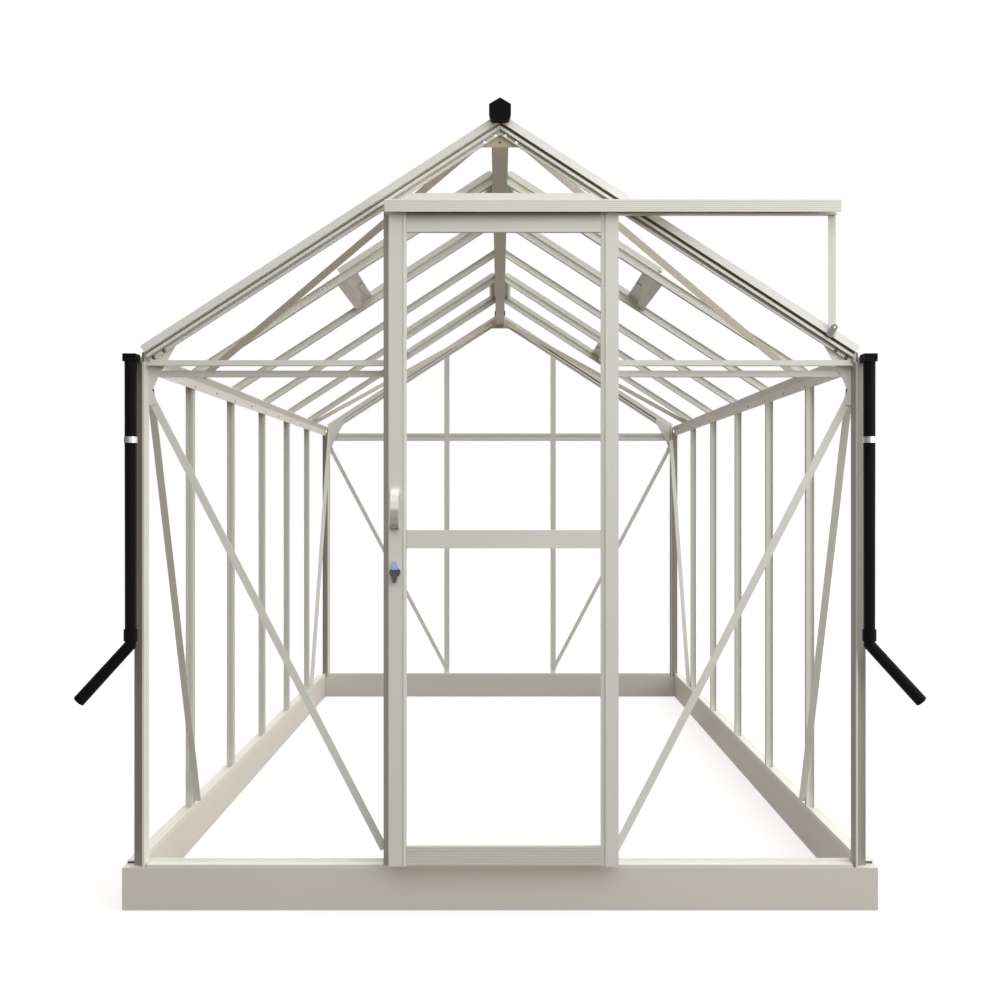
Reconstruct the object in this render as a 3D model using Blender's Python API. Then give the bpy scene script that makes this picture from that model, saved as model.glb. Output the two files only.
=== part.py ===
# Aluminium glasshouse frame, three panes wide and six bays long, with a sliding door,
# four roof vents, corner downpipes and a folded steel plinth.
# Metres, +Z up, the door faces -Y, the ground is Z = 0.

import math

import bmesh
import bpy
from mathutils import Matrix, Vector

# Bays and overall frame
BAY = 0.62                  # pitch of the glazing bars
BAYS = 6                    # bays along the side
SIDE_INNER = 0.950          # inner face of the side bars from the middle
SLOPE = 0.648               # rise over run of the roof
EAVES_LOW = 1.417           # underside of the eaves bars
ROOF_INNER_APEX = EAVES_LOW + 0.0354 + SLOPE * SIDE_INNER   # where the bars' inner planes would meet
HOUSE_SHIFT = 0.0205        # the frame stands this far back, because the track reaches forward
SEAT = 0.0003               # clearance between touching pieces
RUN = 0.0005                # clearance of a piece that turns or slides

# Plinth of folded sheet
PLINTH_HEIGHT = 0.111
PLINTH_WIDTH = 0.040
PLINTH_SHEET = 0.002
PLINTH_LIP = 0.013
PLINTH_OUT = 0.030          # outer face beyond the bar line at the gables

# Sill on the plinth
SILL_RISE = 0.0078
SILL_FLAT = 0.031
SILL_LEDGE = 0.0152
SILL_DEPTH = 0.0395
SILL_WALL = 0.0022

# Glazing bars of the sides and the roof
BAR_DEPTH = 0.025
BAR_CHANNEL = 0.020
BAR_SLOT = 0.008
BAR_CAP = 0.023
BAR_WALL = 0.0022
BAR_WEB = 0.003
BAR_TAPER = 0.0004          # the flanges thin towards their edges

# Corner posts
POST_SPAN = 0.040           # from the inner edge to the outer wing
POST_NOSE = 0.0054
POST_COVE = 0.028
POST_INNER = SIDE_INNER - 0.024     # inner edge from the middle
POST_TOP = EAVES_LOW + 0.019

# Gable members lie in one layer
GABLE_FRONT = -0.030        # front face, from the bar line
GABLE_BACK = -0.008
PLATE = 0.0025              # gusset thickness
RAFTER_APEX = ROOF_INNER_APEX + 0.023
RAFTER_FACE = 0.021         # cover flange, square to the slope
RAFTER_LEAN = 0.006         # its face leans back towards the top
RAFTER_GROOVE = 0.0075
RAFTER_STEP = 0.036         # the inner flange stands back below this depth
RAFTER_DEEP = 0.0468
RAFTER_END = SIDE_INNER - 0.006

# Eaves bar and gutter
GUTTER_FLOOR = EAVES_LOW + 0.0175
GUTTER_TOP = EAVES_LOW + 0.041
GUTTER_OUT = SIDE_INNER + 0.0385
EAVES_INNER = SIDE_INNER - 0.0025
EAVES_FLANGE = 0.0022
EAVES_BOX = 0.0105
EAVES_LEDGE = 0.012         # the ledge under the roof bars leans in by this much

# Ridge
RIDGE_HALF = 0.021
RIDGE_UNDER = ROOF_INNER_APEX - 0.048
RIDGE_WING = 0.0238         # reach of the wings from the middle
RIDGE_SHEET = 0.003
RIDGE_CAP_OUT = 0.031
RIDGE_CAP_HALF = 0.0286
RIDGE_CAP_APEX = RAFTER_APEX + 0.029

# Door opening
DOOR_POST_OUT = 0.305
DOOR_POST_WIDE = 0.026

# Rails across the front gable
RAIL_ONE_LOW = EAVES_LOW + 0.010
RAIL_ONE_HIGH = 0.014
RAIL_TWO_LOW = EAVES_LOW - 0.017
RAIL_TWO_HIGH = 0.016
RAIL_TWO_DEEP = 0.022
RAIL_TWO_END = SIDE_INNER - 0.047

# Rear gable
MULLION_MID = 0.290
MULLION_WIDE = 0.028
REAR_RAIL_LOW = EAVES_LOW - 0.025
REAR_RAIL_HIGH = 0.0405

# Flat braces
BRACE_WIDE = 0.020
BRACE_THICK = 0.003

# Door
DOOR_LEFT = -0.288
DOOR_RIGHT = 0.307
DOOR_LOW = 0.127
DOOR_FACE = -0.072          # front face, from the bar line
DOOR_DEEP = 0.020
STILE = 0.046
STILE_FACE = 0.034
TOP_RAIL = 0.057
MID_RAIL_LOW = 0.9495
MID_RAIL_HIGH = 0.0475
BOTTOM_RAIL_HIGH = 0.049
DOOR_TRAVEL = 0.565

# Track
TRACK_LEFT = DOOR_LEFT - 0.009
TRACK_RIGHT = DOOR_RIGHT + DOOR_TRAVEL + 0.005
TRACK_TALL = 0.032
TRACK_DROP = 0.0216         # underside of the track below the rafters at the door posts
TRACK_REACH = 0.065         # from the gable members to the fascia
TRACK_SHEET = 0.0025
TRACK_LIP_DEEP = 0.018
SUPPORT_X = TRACK_RIGHT - 0.008
SUPPORT_WIDE = 0.018
SUPPORT_THICK = 0.005

# Wheels
WHEEL_RADIUS = 0.0115
WHEEL_WIDE = 0.010
AXLE_RADIUS = 0.003
WHEEL_FROM_EDGE = 0.075

# Handle and thumb turn
HANDLE_WIDE = 0.0205
HANDLE_LOW = 0.998
HANDLE_TALL = 0.106
HANDLE_OUT = 0.030
HANDLE_STRAP = 0.006
GRIP_X = DOOR_LEFT + 0.01625
TURN_Z = 0.8885
TURN_RADIUS = 0.014
TURN_LEVER = 0.0575
TURN_LEVER_WIDE = 0.015

# Roof vents
VENT_THICK = 0.0165
VENT_AXIS = 0.0315          # hinge line from the middle
VENT_BEAD = 0.007
VENT_END = 0.5015
VENT_OVERLAP = 0.010
VENT_SIDE = 0.020
VENT_TOP_RAIL = 0.018
VENT_BOTTOM_RAIL = 0.0485
TRANSOM_EDGE = 0.5165       # its lower edge, from the middle
TRANSOM_DROP = 0.0040       # its top, below the outer face of the bars
TRANSOM_DEEP = 0.029
TRANSOM_THICK = 0.012
STAY_LENGTH = 0.260
STAY_WIDE = 0.012
STAY_THICK = 0.003
LUG = 0.003

# Downpipes
PIPE_RADIUS = 0.016
PIPE_WALL = 0.002
PIPE_X = SIDE_INNER + 0.009
PIPE_OUT = -0.060           # pipe axis, from the bar line
PIPE_BEND_Z = 0.700
PIPE_SPOUT_X = SIDE_INNER + 0.144
PIPE_SPOUT_Z = 0.552
OUTLET_LOW = EAVES_LOW + 0.017
OUTLET_TALL = 0.020
OUTLET_HEAD = SIDE_INNER - 0.008     # inner side of the head over the pipe
OUTLET_IN = SIDE_INNER + 0.003
OUTLET_OUT = SIDE_INNER + 0.026

HALF_LENGTH = BAY * BAYS / 2
PITCH = math.atan(SLOPE)
COS = math.cos(PITCH)
SIN = math.sin(PITCH)
PLINTH_TOP = PLINTH_HEIGHT + SEAT
SILL_TOP = PLINTH_TOP + SILL_RISE
PLATE_FRONT = GABLE_BACK + SEAT
PLATE_BACK = PLATE_FRONT + PLATE
RUN_START = PLATE_BACK + SEAT       # the long members begin behind the plates
RAFTER_LOW_APEX = RAFTER_APEX - RAFTER_DEEP / COS
TRACK_LOW = RAFTER_LOW_APEX - SLOPE * DOOR_POST_OUT - TRACK_DROP
TRACK_TOP = TRACK_LOW + TRACK_TALL
HEADER_LOW = TRACK_LOW + 0.022
HEADER_TOP = TRACK_LOW + 0.063
DOOR_TOP = TRACK_LOW + 0.010        # the door rises behind the fascia

for old in list(bpy.data.objects):
    bpy.data.objects.remove(old, do_unlink=True)

scene = bpy.context.scene
parts = bpy.data.collections.new("glasshouse_frame")
cutters = bpy.data.collections.new("glasshouse_cutters")
scene.collection.children.link(parts)
scene.collection.children.link(cutters)


def paint(name, colour, roughness, metallic):
    material = bpy.data.materials.new(name)
    material.use_nodes = True
    shader = material.node_tree.nodes["Principled BSDF"]
    shader.inputs["Base Color"].default_value = (*colour, 1.0)
    shader.inputs["Roughness"].default_value = roughness
    shader.inputs["Metallic"].default_value = metallic
    material.diffuse_color = (*colour, 1.0)
    return material


CREAM = (0.72, 0.69, 0.60)
BLACK = (0.012, 0.012, 0.014)
STEEL = (0.55, 0.56, 0.58)


def keep(obj, name, colour=CREAM, roughness=0.42, metallic=0.15):
    """Names a finished piece and gives it its own material."""
    obj.name = name
    obj.data.name = name
    obj.data.materials.clear()
    obj.data.materials.append(paint(name + "_paint", colour, roughness, metallic))
    for home in list(obj.users_collection):
        home.objects.unlink(obj)
    parts.objects.link(obj)
    return obj


def at(side, end, x, inward, z):
    """A point given by its side, its gable, and its distance inward from that bar line."""
    return Vector((side * x, end * (HALF_LENGTH - inward) + HOUSE_SHIFT, z))


def mesh_of(obj):
    """Turns the evaluated object into a plain mesh object at the same place."""
    graph = bpy.context.evaluated_depsgraph_get()
    graph.update()
    mesh = bpy.data.meshes.new_from_object(obj.evaluated_get(graph))
    edit = bmesh.new()
    edit.from_mesh(mesh)
    bmesh.ops.remove_doubles(edit, verts=edit.verts, dist=0.00001)
    bmesh.ops.recalc_face_normals(edit, faces=edit.faces)
    edit.to_mesh(mesh)
    edit.free()
    made = bpy.data.objects.new(obj.name + "_mesh", mesh)
    made.matrix_world = obj.matrix_world.copy()
    cutters.objects.link(made)
    bpy.data.objects.remove(obj, do_unlink=True)
    return made


def solid(loops, origin, axes, length, start_cut=None, end_cut=None):
    """Runs a section from its origin along the third axis. The cuts skew the two ends."""
    u_axis, v_axis, w_axis = [Vector(axis).normalized() for axis in axes]
    hand = 1 if u_axis.cross(v_axis).dot(w_axis) > 0 else -1
    curve = bpy.data.curves.new("section", "CURVE")
    curve.dimensions = "2D"
    curve.fill_mode = "BOTH"
    curve.extrude = length / 2
    for loop in loops:
        spline = curve.splines.new("POLY")
        spline.points.add(len(loop) - 1)
        spline.use_cyclic_u = True
        for point, (a, b) in zip(spline.points, loop):
            point.co = (hand * a, b, 0.0, 1.0)
    obj = bpy.data.objects.new("section", curve)
    cutters.objects.link(obj)
    made = mesh_of(obj)
    for vert in made.data.vertices:
        near = vert.co.z < 0
        cut = start_cut if near else end_cut
        along = 0.0 if near else length
        vert.co.z = along + (cut(hand * vert.co.x, vert.co.y) if cut else 0.0)
    turn = Matrix((hand * u_axis, v_axis, w_axis)).transposed().to_4x4()
    made.matrix_world = Matrix.Translation(origin) @ turn
    return made


def combine(body, others, operation="UNION"):
    """Joins or cuts one piece with others, which are used up."""
    for other in others:
        change = body.modifiers.new("change", "BOOLEAN")
        change.operation = operation
        change.solver = "EXACT"
        change.object = other
        bpy.context.view_layer.update()
        body = mesh_of(body)
        bpy.data.objects.remove(other, do_unlink=True)
    return body


def inner_plane(x):
    """Height of the roof bars' inner plane at a distance from the middle."""
    return ROOF_INNER_APEX - SLOPE * x


def box_outline(low_a, high_a, low_b, high_b):
    return [(low_a, low_b), (high_a, low_b), (high_a, high_b), (low_a, high_b)]


def cylinder(radius, length, centre, axis, sides=24):
    bpy.ops.mesh.primitive_cylinder_add(vertices=sides, radius=radius, depth=length)
    made = bpy.context.object
    made.matrix_world = Matrix.Translation(centre) @ Vector(axis).to_track_quat("Z", "Y").to_matrix().to_4x4()
    for home in list(made.users_collection):
        home.objects.unlink(made)
    cutters.objects.link(made)
    bpy.context.view_layer.update()
    return made


# Folded sheet plinth, an open channel with inturned feet, mitred at its corners
channel = [
    (0, 0), (0, PLINTH_HEIGHT), (PLINTH_WIDTH, PLINTH_HEIGHT), (PLINTH_WIDTH, 0),
    (PLINTH_WIDTH - PLINTH_LIP, 0), (PLINTH_WIDTH - PLINTH_LIP, PLINTH_SHEET),
    (PLINTH_WIDTH - PLINTH_SHEET, PLINTH_SHEET),
    (PLINTH_WIDTH - PLINTH_SHEET, PLINTH_HEIGHT - PLINTH_SHEET),
    (PLINTH_SHEET, PLINTH_HEIGHT - PLINTH_SHEET), (PLINTH_SHEET, PLINTH_SHEET),
    (PLINTH_LIP, PLINTH_SHEET), (PLINTH_LIP, 0),
]
plinth_half_x = SIDE_INNER + PLINTH_WIDTH
plinth_half_y = HALF_LENGTH + PLINTH_OUT
for end, name in ((-1, "front"), (1, "rear")):
    origin = Vector((-plinth_half_x, end * plinth_half_y + HOUSE_SHIFT, 0))
    run = solid([channel], origin, ((0, -end, 0), (0, 0, 1), (1, 0, 0)), 2 * plinth_half_x,
                lambda a, b: a + SEAT, lambda a, b: -a - SEAT)
    keep(run, "plinth_" + name)
for side, name in ((-1, "left"), (1, "right")):
    origin = Vector((side * plinth_half_x, -plinth_half_y + HOUSE_SHIFT, 0))
    run = solid([channel], origin, ((-side, 0, 0), (0, 0, 1), (0, 1, 0)), 2 * plinth_half_y,
                lambda a, b: a + SEAT, lambda a, b: -a - SEAT)
    keep(run, "plinth_" + name)

# Sill section: a front lip, a flat and a raised ledge at the back
sill_outline = [
    (0, 0), (0, SILL_RISE), (SILL_FLAT, SILL_RISE), (SILL_FLAT + SILL_WALL, SILL_LEDGE),
    (SILL_DEPTH, SILL_LEDGE), (SILL_DEPTH, 0), (SILL_DEPTH - SILL_WALL, 0),
    (SILL_DEPTH - SILL_WALL, SILL_LEDGE - SILL_WALL),
    (SILL_FLAT + SILL_WALL + 0.0012, SILL_LEDGE - SILL_WALL),
    (SILL_FLAT + 0.0012, SILL_RISE - SILL_WALL), (SILL_WALL, SILL_RISE - SILL_WALL), (SILL_WALL, 0),
]
sill_out = PLINTH_OUT - 0.0015
for end, name in ((-1, "front"), (1, "rear")):
    origin = Vector((-POST_INNER + SEAT, end * (HALF_LENGTH + sill_out) + HOUSE_SHIFT, PLINTH_TOP))
    run = solid([sill_outline], origin, ((0, -end, 0), (0, 0, 1), (1, 0, 0)), 2 * (POST_INNER - SEAT))
    keep(run, "sill_" + name)

# Glazing bar section: a bolt channel open to the inside, a web and an outer cap
half_channel = BAR_CHANNEL / 2
half_slot = BAR_SLOT / 2
half_cap = BAR_CAP / 2
half_web = BAR_WEB / 2
channel_deep = 0.0095
right_half = [
    (half_slot, 0), (half_channel, 0), (half_channel, channel_deep - BAR_TAPER), (half_web, channel_deep),
    (half_web, BAR_DEPTH - BAR_WALL), (half_cap, BAR_DEPTH - BAR_WALL + BAR_TAPER), (half_cap, BAR_DEPTH),
]
inside_half = [
    (half_channel - BAR_WALL, channel_deep - BAR_WALL), (half_channel - BAR_WALL, BAR_WALL),
    (half_slot, BAR_WALL),
]
bar_outline = (
    right_half
    + [(-a, b) for a, b in reversed(right_half)]
    + [(-a, b) for a, b in reversed(inside_half)]
    + inside_half
)

bar_lines = [BAY * number for number in range(1, BAYS)]
side_outer = SIDE_INNER + BAR_DEPTH
sill_side_out = SIDE_INNER + PLINTH_WIDTH - 0.0015
post_deep = POST_SPAN + GABLE_FRONT + 0.002
for side, name in ((-1, "left"), (1, "right")):
    start = post_deep + SEAT
    origin = at(side, -1, sill_side_out, start, PLINTH_TOP)
    comb = solid([sill_outline], origin, ((-side, 0, 0), (0, 0, 1), (0, 1, 0)), 2 * (HALF_LENGTH - start))
    bars = []
    for line in bar_lines:
        origin = at(side, -1, SIDE_INNER, line, PLINTH_TOP + 0.0035)
        tall = GUTTER_FLOOR - SEAT - origin.z
        bars.append(solid([bar_outline], origin, ((0, 1, 0), (side, 0, 0), (0, 0, 1)), tall))
    keep(combine(comb, bars), "side_bars_" + name)

# Corner post: a cove that faces the corner, two noses and a slanted inner face
cove = []
for step in range(7):
    angle = math.radians(90 * step / 6)
    cove.append((-POST_COVE * math.cos(angle), -POST_COVE * math.sin(angle)))
nose = POST_COVE + POST_NOSE
post_outline = [(-POST_COVE, 0)] + cove[1:6] + [(0, -POST_COVE)] + [
    (0, -nose), (-0.018, -POST_SPAN), (-0.026, -POST_SPAN), (-POST_SPAN, -0.026), (-POST_SPAN, -0.018),
    (-nose, 0),
]
post_corner = POST_INNER + POST_SPAN
gusset_top = RAFTER_APEX - 0.0173
gusset = [
    (RAFTER_END - 0.092, EAVES_LOW + 0.070), (RAFTER_END - 0.068, EAVES_LOW + 0.026),
    (RAFTER_END - 0.042, EAVES_LOW - 0.020), (RAFTER_END - 0.031, EAVES_LOW - 0.045),
    (RAFTER_END - 0.0275, EAVES_LOW - 0.056), (RAFTER_END - 0.037, EAVES_LOW - 0.074),
    (RAFTER_END - 0.037, EAVES_LOW - 0.092), (RAFTER_END, EAVES_LOW - 0.092),
    (RAFTER_END, gusset_top - SLOPE * RAFTER_END),
    (RAFTER_END - 0.092, gusset_top - SLOPE * (RAFTER_END - 0.092)),
]
for end, end_name in ((-1, "front"), (1, "rear")):
    for side, name in ((-1, "left"), (1, "right")):
        origin = at(side, end, post_corner, GABLE_FRONT + 0.002, PLINTH_TOP)
        post = solid([post_outline], origin, ((side, 0, 0), (0, end, 0), (0, 0, 1)), POST_TOP - PLINTH_TOP)
        plate = solid([gusset], at(0, end, 0, PLATE_FRONT, 0), ((side, 0, 0), (0, 0, 1), (0, -end, 0)), PLATE)
        keep(combine(post, [plate]), "post_" + end_name + "_" + name)

# Roof slopes: eaves bar with its gutter, five bars and two vent transoms
eaves_top = 0.0035
eaves_outer = EAVES_INNER + EAVES_BOX
ledge = EAVES_INNER - EAVES_LEDGE
eaves_outline = [
    (EAVES_INNER, EAVES_LOW), (EAVES_INNER, EAVES_LOW + 0.0285), (ledge, inner_plane(ledge) + 0.0005),
    (ledge, inner_plane(ledge) + eaves_top), (eaves_outer, inner_plane(eaves_outer) + eaves_top),
    (eaves_outer, GUTTER_FLOOR + EAVES_FLANGE),
    (GUTTER_OUT - EAVES_FLANGE, GUTTER_FLOOR + EAVES_FLANGE), (GUTTER_OUT - EAVES_FLANGE, GUTTER_TOP),
    (GUTTER_OUT, GUTTER_TOP), (GUTTER_OUT, GUTTER_FLOOR),
    (EAVES_INNER + EAVES_FLANGE, GUTTER_FLOOR), (EAVES_INNER + EAVES_FLANGE, EAVES_LOW),
]
vent_bays = (2, BAYS - 1)


def slope_point(side, x, height, y):
    """A point over the roof bars' outer plane, at a distance from the middle."""
    z = ROOF_INNER_APEX + (BAR_DEPTH + height) / COS - SLOPE * x
    return Vector((side * x, y, z))


for side, name in ((-1, "left"), (1, "right")):
    down = Vector((side * COS, 0, -SIN))
    up = Vector((side * SIN, 0, COS))
    origin = at(0, -1, 0, post_deep + SEAT, 0)
    comb = solid([eaves_outline], origin, ((side, 0, 0), (0, 0, 1), (0, 1, 0)),
                 2 * (HALF_LENGTH - post_deep - SEAT))
    pieces = []
    first = RIDGE_HALF + SEAT
    last = eaves_outer - 0.001
    for line in bar_lines:
        origin = Vector((side * first, at(0, -1, 0, line, 0).y, ROOF_INNER_APEX - SLOPE * first))
        pieces.append(solid([bar_outline], origin, ((0, 1, 0), up, down), (last - first) / COS,
                            lambda a, b: -b * SLOPE, lambda a, b: -b * SLOPE))
    for bay in vent_bays:
        y_low = at(0, -1, 0, BAY * (bay - 1), 0).y
        origin = slope_point(side, TRANSOM_EDGE, -TRANSOM_DROP, y_low)
        outline = box_outline(-TRANSOM_DEEP, 0, -TRANSOM_THICK, 0)
        pieces.append(solid([outline], origin, (down, up, (0, 1, 0)), BAY))
    keep(combine(comb, pieces), "roof_bars_" + name)

# Ridge bar with wings, hinge lips and an end plate at each gable
wing_h = BAR_DEPTH + RUN


def wing_z(x, height):
    return ROOF_INNER_APEX + height / COS - SLOPE * x


lip_h = wing_h + 0.0135
half_ridge = [
    (0, RIDGE_UNDER), (RIDGE_HALF, RIDGE_UNDER), (RIDGE_HALF, wing_z(RIDGE_HALF, wing_h)),
    (RIDGE_WING, wing_z(RIDGE_WING, wing_h)), (RIDGE_WING, wing_z(RIDGE_WING, lip_h)),
    (RIDGE_WING - RIDGE_SHEET, wing_z(RIDGE_WING - RIDGE_SHEET, lip_h)),
    (RIDGE_WING - RIDGE_SHEET, wing_z(RIDGE_WING - RIDGE_SHEET, wing_h + RIDGE_SHEET)),
    (0, wing_z(0, wing_h + RIDGE_SHEET)),
]
ridge_outline = half_ridge[1:] + [(-a, b) for a, b in reversed(half_ridge[1:-1])]
plate_half = [(0.047, RIDGE_UNDER - 0.0155), (0.088, RIDGE_UNDER - 0.025), (0.088, RIDGE_UNDER),
              (0, RIDGE_UNDER + 0.054)]
plate_outline = plate_half + [(-a, b) for a, b in reversed(plate_half[:-1])]
origin = at(0, -1, 0, RUN_START - 0.001, 0)
ridge = solid([ridge_outline], origin, ((1, 0, 0), (0, 0, 1), (0, 1, 0)), 2 * (HALF_LENGTH - RUN_START + 0.001))
plates = []
for end in (-1, 1):
    plates.append(solid([plate_outline], at(0, end, 0, PLATE_FRONT, 0),
                        ((1, 0, 0), (0, 0, 1), (0, -end, 0)), PLATE))
keep(combine(ridge, plates), "ridge_bar")

# Moulded caps over the gable ends of the ridge
cap_low = RIDGE_CAP_APEX - 0.040
cap_half = [(0, RIDGE_CAP_APEX), (RIDGE_CAP_HALF, RIDGE_CAP_APEX - 0.017), (RIDGE_CAP_HALF, cap_low)]
cap_half += [(RIDGE_CAP_HALF - 0.0093 * math.sin(math.radians(a)), cap_low - 0.018 * (1 - math.cos(math.radians(a))))
             for a in (30, 60, 90)]
cap_outline = cap_half + [(-a, b) for a, b in reversed(cap_half[1:])]
for end, name in ((-1, "front"), (1, "rear")):
    origin = at(0, end, 0, GABLE_FRONT - SEAT, 0)
    cap = solid([cap_outline], origin, ((1, 0, 0), (0, 0, 1), (0, end, 0)), RIDGE_CAP_OUT)
    keep(cap, "ridge_cap_" + name, BLACK, 0.35, 0.0)

# Gable rafters: cover flange, groove and lower face, mitred at the ridge
gable_deep = GABLE_BACK - GABLE_FRONT
rafter_outline = [
    (0, RAFTER_LEAN), (0, gable_deep), (-RAFTER_DEEP, gable_deep), (-RAFTER_DEEP, 0.010), (-RAFTER_STEP, 0.010),
    (-RAFTER_STEP, 0.002),
    (-RAFTER_FACE - RAFTER_GROOVE, 0.002), (-RAFTER_FACE - RAFTER_GROOVE, 0.008), (-RAFTER_FACE, 0.008),
    (-RAFTER_FACE, 0),
]
for end, end_name in ((-1, "front"), (1, "rear")):
    for side, name in ((-1, "left"), (1, "right")):
        down = (side * COS, 0, -SIN)
        up = (side * SIN, 0, COS)
        origin = at(side, end, SEAT, GABLE_FRONT, RAFTER_APEX - SLOPE * SEAT)
        rafter = solid([rafter_outline], origin, (up, (0, -end, 0), down), (RAFTER_END - SEAT) / COS,
                       lambda a, b: -a * SLOPE)
        keep(rafter, "rafter_" + end_name + "_" + name)

# Door portal: two posts cut to the rafters and a header between them
post_cut_z = RAFTER_LOW_APEX - SLOPE * DOOR_POST_OUT - RUN
upright = [
    (0, 0), (DOOR_POST_WIDE, 0), (DOOR_POST_WIDE, gable_deep), (0.016, gable_deep), (0.016, gable_deep - 0.006),
    (0.010, gable_deep - 0.006), (0.010, gable_deep), (0, gable_deep),
]
posts = []
for side in (-1, 1):
    origin = at(side, -1, DOOR_POST_OUT, GABLE_FRONT, SILL_TOP + SEAT)
    posts.append(solid([upright], origin, ((-side, 0, 0), (0, 1, 0), (0, 0, 1)), post_cut_z - origin.z,
                       None, lambda a, b: a * SLOPE))
header_outline = [(0.002, 0), (gable_deep - 0.002, 0), (gable_deep - 0.002, HEADER_TOP - HEADER_LOW),
                  (0.002, HEADER_TOP - HEADER_LOW)]
header_half = (RAFTER_LOW_APEX - HEADER_LOW - RUN) / SLOPE - RUN
origin = at(0, -1, 0, GABLE_FRONT, HEADER_LOW) + Vector((-header_half, 0, 0))
header = solid([header_outline], origin, ((0, 1, 0), (0, 0, 1), (1, 0, 0)), 2 * header_half,
               lambda a, b: b / SLOPE, lambda a, b: -b / SLOPE)
keep(combine(posts[0], [header, posts[1]]), "door_portal")

# Two rails on each side of the door
rail_one = [(0, 0), (gable_deep, 0), (gable_deep, RAIL_ONE_HIGH), (gable_deep - 0.0022, RAIL_ONE_HIGH),
            (gable_deep - 0.0022, 0.0022), (0.0022, 0.0022), (0.0022, RAIL_ONE_HIGH), (0, RAIL_ONE_HIGH)]
rail_two = [(0, 0), (RAIL_TWO_DEEP, 0), (RAIL_TWO_DEEP, 0.0025), (0.0025, 0.0025), (0.0025, RAIL_TWO_HIGH),
            (0, RAIL_TWO_HIGH)]
one_lean = 0.8
one_far = POST_INNER - RUN - RAIL_ONE_HIGH * one_lean
two_near = DOOR_POST_OUT - 0.0065
for side, name in ((-1, "left"), (1, "right")):
    origin = at(side, -1, DOOR_POST_OUT + SEAT, GABLE_FRONT, RAIL_ONE_LOW)
    run = solid([rail_one], origin, ((0, 1, 0), (0, 0, 1), (side, 0, 0)), one_far - DOOR_POST_OUT - SEAT,
                None, lambda a, b: (RAIL_ONE_HIGH - b) * one_lean)
    keep(run, "gable_rail_upper_" + name)
    origin = at(side, -1, two_near, RUN_START, RAIL_TWO_LOW)
    run = solid([rail_two], origin, ((0, 1, 0), (0, 0, 1), (side, 0, 0)), RAIL_TWO_END - two_near,
                None, lambda a, b: -b * 0.7)
    keep(run, "gable_rail_lower_" + name)

# Rear gable: two mullions and a rail, joined where they cross
uprights = []
mullion_out = MULLION_MID + MULLION_WIDE / 2
mullion = box_outline(0, MULLION_WIDE, 0, gable_deep)
for side in (-1, 1):
    origin = at(side, 1, mullion_out, GABLE_FRONT, SILL_TOP + SEAT)
    top = RAFTER_LOW_APEX - SLOPE * mullion_out - RUN
    uprights.append(solid([mullion], origin, ((-side, 0, 0), (0, -1, 0), (0, 0, 1)), top - origin.z,
                          None, lambda a, b: a * SLOPE))
rear_rail = [
    (0.002, 0), (gable_deep - 0.002, 0), (gable_deep - 0.002, 0.012), (gable_deep - 0.006, 0.012),
    (gable_deep - 0.006, 0.028), (gable_deep - 0.002, 0.028), (gable_deep - 0.002, REAR_RAIL_HIGH),
    (0.002, REAR_RAIL_HIGH),
]
rail_half = POST_INNER - RUN
origin = at(0, 1, 0, GABLE_FRONT, REAR_RAIL_LOW) + Vector((-rail_half, 0, 0))
rail = solid([rear_rail], origin, ((0, -1, 0), (0, 0, 1), (1, 0, 0)), 2 * rail_half)
keep(combine(rail, uprights), "rear_gable_frame")


def brace(name, first, last, normal):
    """A flat bar between two points, with its broad face square to the normal."""
    along = (last - first).normalized()
    flat = Vector(normal)
    flat = (flat - along * flat.dot(along)).normalized()
    wide = flat.cross(along)
    outline = box_outline(-BRACE_WIDE / 2, BRACE_WIDE / 2, -BRACE_THICK / 2, BRACE_THICK / 2)
    keep(solid([outline], first, (wide, flat, along), (last - first).length), name)


# Flat braces in both gables, in the end bays of the sides and under the end bays of the roof
behind = RUN_START + BRACE_THICK / 2
under_bars = (BRACE_WIDE / 2 + RUN) / COS
head_x = RIDGE_HALF + 0.025
foot_out = SIDE_INNER - 0.026
for end, end_name in ((-1, "front"), (1, "rear")):
    foot_x = DOOR_POST_OUT + 0.001 if end < 0 else MULLION_MID + 0.004
    for side, name in ((-1, "left"), (1, "right")):
        brace("gable_brace_" + end_name + "_" + name,
              at(side, end, POST_INNER - 0.0094, behind, EAVES_LOW - 0.0812),
              at(side, end, foot_x, behind, 0.154), (0, 1, 0))
        brace("side_brace_" + end_name + "_" + name,
              at(side, end, POST_INNER + 0.004, post_deep + SEAT + BRACE_THICK / 2, EAVES_LOW - 0.024),
              at(side, end, SIDE_INNER - RUN - BRACE_WIDE / 2, BAY, 0.139), (0, 1, 0))
        brace("roof_brace_" + end_name + "_" + name,
              at(side, end, head_x, behind + SEAT, inner_plane(head_x) - under_bars - 0.0012),
              at(side, end, foot_out, BAY, inner_plane(foot_out) - under_bars), (0, 1, 0))

# Sliding door: grooved stiles and rails
stile_outline = [
    (0, 0), (STILE_FACE, 0), (STILE_FACE, 0.004), (STILE_FACE + 0.004, 0.004), (STILE_FACE + 0.004, 0.001),
    (STILE, 0.003), (STILE, 0.012), (STILE - 0.008, 0.012), (STILE - 0.008, DOOR_DEEP), (0, DOOR_DEEP),
]
door_front = at(0, -1, 0, DOOR_FACE, 0).y
door_tall = DOOR_TOP - DOOR_LOW
stile_left = solid([stile_outline], (DOOR_LEFT, door_front, DOOR_LOW), ((1, 0, 0), (0, 1, 0), (0, 0, 1)), door_tall)
keep(stile_left, "door_stile_left")
stile_right = solid([stile_outline], (DOOR_RIGHT, door_front, DOOR_LOW), ((-1, 0, 0), (0, 1, 0), (0, 0, 1)), door_tall)
keep(stile_right, "door_stile_right")
clear_left = DOOR_LEFT + STILE + SEAT
clear_wide = DOOR_RIGHT - DOOR_LEFT - 2 * (STILE + SEAT)


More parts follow.
